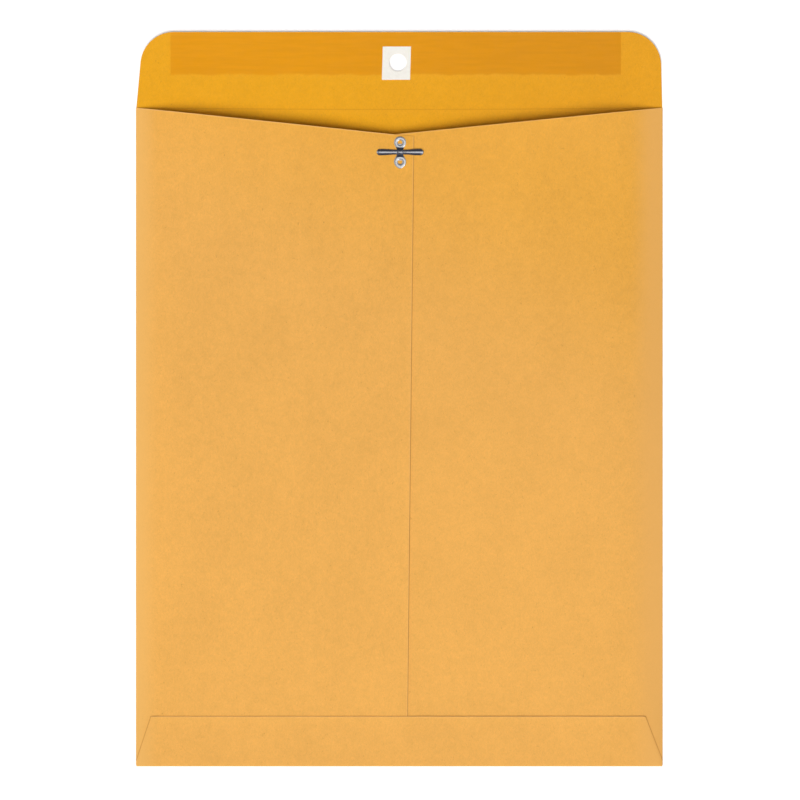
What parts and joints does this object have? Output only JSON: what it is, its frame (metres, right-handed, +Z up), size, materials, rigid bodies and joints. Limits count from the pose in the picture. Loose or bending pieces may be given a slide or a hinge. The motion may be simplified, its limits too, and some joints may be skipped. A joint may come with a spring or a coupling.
{
  "type": "clasp envelope",
  "caption": "Open-end kraft envelope with a gummed flap, a reinforced flap hole and a two-prong metal clasp",
  "frame": {"origin": "centre of the body rectangle (the flap left out), on the address face that it rests on", "axes": "+Z up from the address side through the seam side, +Y towards the closing flap, +X to the right seen from the seam side"},
  "size_m": [0.2934, 0.4089, 0.0071],
  "materials": {
    "kraft_paper": "uncoated brown kraft, matt",
    "patch_paper": "uncoated white paper, matt",
    "gum": "dry gum on kraft, slight sheen",
    "glue": "dried adhesive film, hidden",
    "tinned_steel": "bright tinned steel"
  },
  "bodies": {
    "envelope": {"envelope_sheet": "kraft_paper", "hole_patch": "patch_paper", "flap_gum": "gum", "seam_glue": "glue", "bottom_glue": "glue", "clasp_base": "tinned_steel"},
    "prong_right": {"prong_right": "tinned_steel"},
    "prong_left": {"prong_left": "tinned_steel"}
  },
  "joints": [
    {"name": "prong_right_bend", "type": "hinge", "parent": "envelope", "child": "prong_right", "pos_m": [0.0024, 0.15855, 0.00658], "axis": [0, -1, 0], "range_deg": [0, 90]},
    {"name": "prong_left_bend", "type": "hinge", "parent": "envelope", "child": "prong_left", "pos_m": [-0.0016, 0.15855, 0.00658], "axis": [0, 1, 0], "range_deg": [0, 90]}
  ]
}
